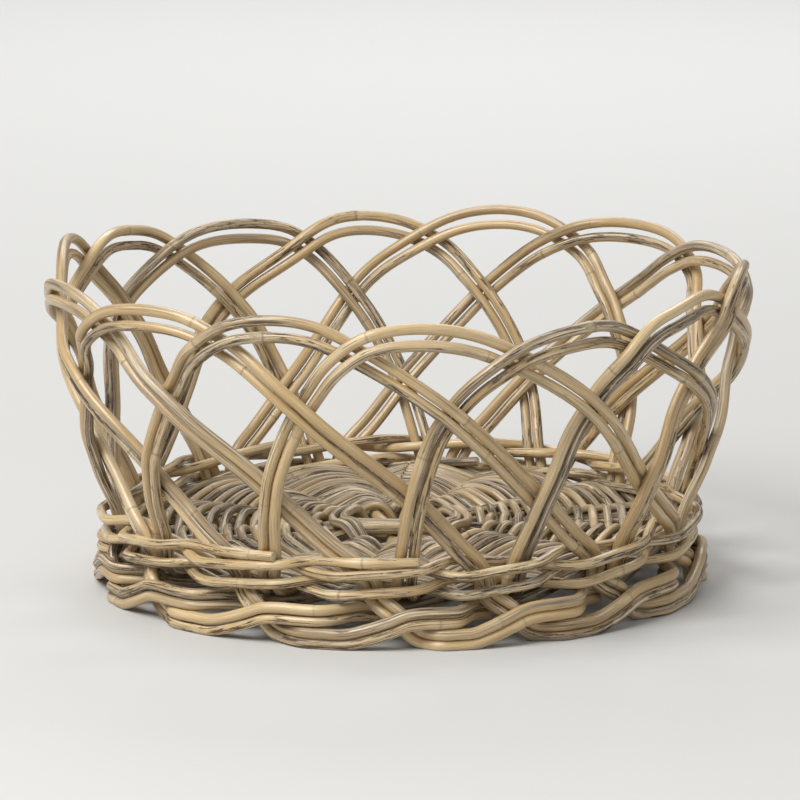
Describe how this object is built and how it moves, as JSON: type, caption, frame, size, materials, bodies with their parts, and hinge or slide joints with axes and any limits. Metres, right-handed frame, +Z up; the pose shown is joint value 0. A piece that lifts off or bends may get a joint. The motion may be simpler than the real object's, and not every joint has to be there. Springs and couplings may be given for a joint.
{
  "type": "wicker pet bed basket",
  "caption": "Round open wicker bed basket with flared lattice walls of paired arched canes, twined band, rolled foot and flat woven base.",
  "frame": {"origin": "on the floor under the middle of the basket", "axes": "+Z up, -Y towards the front of the basket, +X to the right as seen from the front"},
  "size_m": [0.612, 0.6118, 0.2896],
  "materials": {
    "arch_cane": "peeled rattan cane, satin",
    "wale_cane": "peeled rattan cane, satin",
    "base_cane": "weathered grey rattan cane, matt"
  },
  "bodies": {
    "root": {"arch_01_outer": "arch_cane", "arch_01_inner": "arch_cane", "arch_02_outer": "arch_cane", "arch_02_inner": "arch_cane", "arch_03_outer": "arch_cane", "arch_03_inner": "arch_cane", "arch_04_outer": "arch_cane", "arch_04_inner": "arch_cane", "arch_05_outer": "arch_cane", "arch_05_inner": "arch_cane", "arch_06_outer": "arch_cane", "arch_06_inner": "arch_cane", "arch_07_outer": "arch_cane", "arch_07_inner": "arch_cane", "arch_08_outer": "arch_cane", "arch_08_inner": "arch_cane", "arch_09_outer": "arch_cane", "arch_09_inner": "arch_cane", "arch_10_outer": "arch_cane", "arch_10_inner": "arch_cane", "arch_11_outer": "arch_cane", "arch_11_inner": "arch_cane", "arch_12_outer": "arch_cane", "arch_12_inner": "arch_cane", "arch_13_outer": "arch_cane", "arch_13_inner": "arch_cane", "arch_14_outer": "arch_cane", "arch_14_inner": "arch_cane", "base_stick_1": "base_cane", "base_stick_2": "base_cane", "base_stick_3": "base_cane", "base_stick_4": "base_cane", "base_stick_5": "base_cane", "base_stick_6": "base_cane", "base_stick_7": "base_cane", "base_binding_1": "base_cane", "base_binding_2": "base_cane", "base_weaver_1": "base_cane", "base_weaver_2": "base_cane", "base_weaver_3": "base_cane", "base_weaver_4": "base_cane", "base_weaver_5": "base_cane", "base_weaver_6": "base_cane", "base_weaver_7": "base_cane", "base_weaver_8": "base_cane", "wale_lower_a": "wale_cane", "wale_lower_b": "wale_cane", "wale_upper_a": "wale_cane", "wale_upper_b": "wale_cane"}
  },
  "joints": []
}
